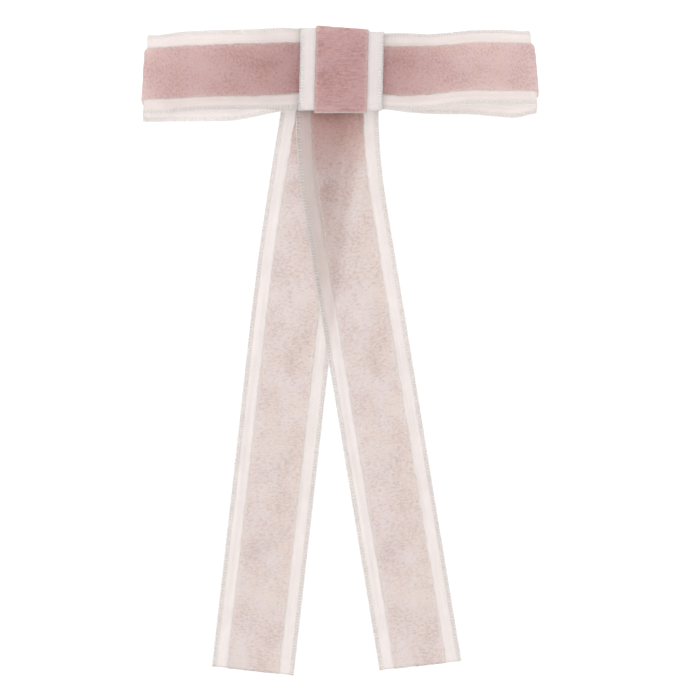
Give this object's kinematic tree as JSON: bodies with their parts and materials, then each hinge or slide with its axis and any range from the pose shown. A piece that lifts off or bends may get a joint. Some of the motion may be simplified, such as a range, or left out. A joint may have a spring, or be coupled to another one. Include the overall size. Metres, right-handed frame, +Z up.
{
  "type": "ribbon bow barrette",
  "caption": "Flat ribbon bow with two long hanging tails on a sprung clasp clip that holds a lock of hair.",
  "frame": {"origin": "middle of the gap that holds the hair, between the crown of the tension bar and the closed clasp arm, halfway along the base bar", "axes": "+Z up, with the tails hanging towards -Z; -Y is the way the bow's front faces and +Y is towards the head; +X runs along the bow to the viewer's right from the front"},
  "size_m": [0.1195, 0.0215, 0.1955],
  "materials": {
    "satin": "sheer blush satin with a woven edge",
    "velvet": "dusty rose velvet pile",
    "clip_steel": "nickel-plated stamped steel",
    "pin_steel": "plain steel wire and rivet",
    "spring_steel": "nickel-plated spring strip",
    "glue": "set hot-melt glue",
    "thread": "twisted sewing thread"
  },
  "bodies": {
    "bow_and_base": {"base_bar": "clip_steel", "hinge_pin": "pin_steel", "catch_foot": "clip_steel", "catch_rivet": "pin_steel", "glue_bed": "glue", "sewing_thread": "thread", "bow_loop_satin": "satin", "bow_loop_velvet": "velvet", "knot_wrap_satin": "satin", "knot_wrap_velvet": "velvet", "tail_left_satin_sewn": "satin", "tail_left_velvet_sewn": "velvet", "tail_right_satin_sewn": "satin", "tail_right_velvet_sewn": "velvet"},
    "clasp": {"clasp_arm": "clip_steel"},
    "upper_tab": {"release_tab_upper": "clip_steel"},
    "lower_tab": {"release_tab_lower": "clip_steel"},
    "tension_spring": {"tension_bar": "spring_steel"},
    "tails": {"tail_left_satin": "satin", "tail_left_velvet": "velvet", "tail_right_satin": "satin", "tail_right_velvet": "velvet"}
  },
  "joints": [
    {"name": "clasp_hinge", "type": "hinge", "parent": "bow_and_base", "child": "clasp", "pos_m": [0.027, 0.00355, 0], "axis": [0, 0, -1], "range_deg": [0, 75]},
    {"name": "upper_tab_pinch", "type": "hinge", "parent": "bow_and_base", "child": "upper_tab", "pos_m": [-0.02584, -0.0017, 0.002], "axis": [-0.9762, 0.2167, 0], "range_deg": [0, 9], "stiffness_Nm_per_rad": 0.5},
    {"name": "lower_tab_pinch", "type": "hinge", "parent": "bow_and_base", "child": "lower_tab", "pos_m": [-0.02584, -0.0017, -0.002], "axis": [-0.9762, 0.2167, 0], "range_deg": [-9, 0], "stiffness_Nm_per_rad": 0.001},
    {"name": "tension_press", "type": "slide", "parent": "bow_and_base", "child": "tension_spring", "axis": [0, -1, 0], "range_m": [0, 0.0012], "stiffness_N_per_m": 800},
    {"name": "tails_swing", "type": "hinge", "parent": "bow_and_base", "child": "tails", "pos_m": [0.0025, -0.00753, -0.0156], "axis": [-1, 0, 0], "range_deg": [-30, 90]}
  ],
  "couplings": [
    {"joint": "lower_tab_pinch", "follows": "upper_tab_pinch", "ratio": -1}
  ]
}
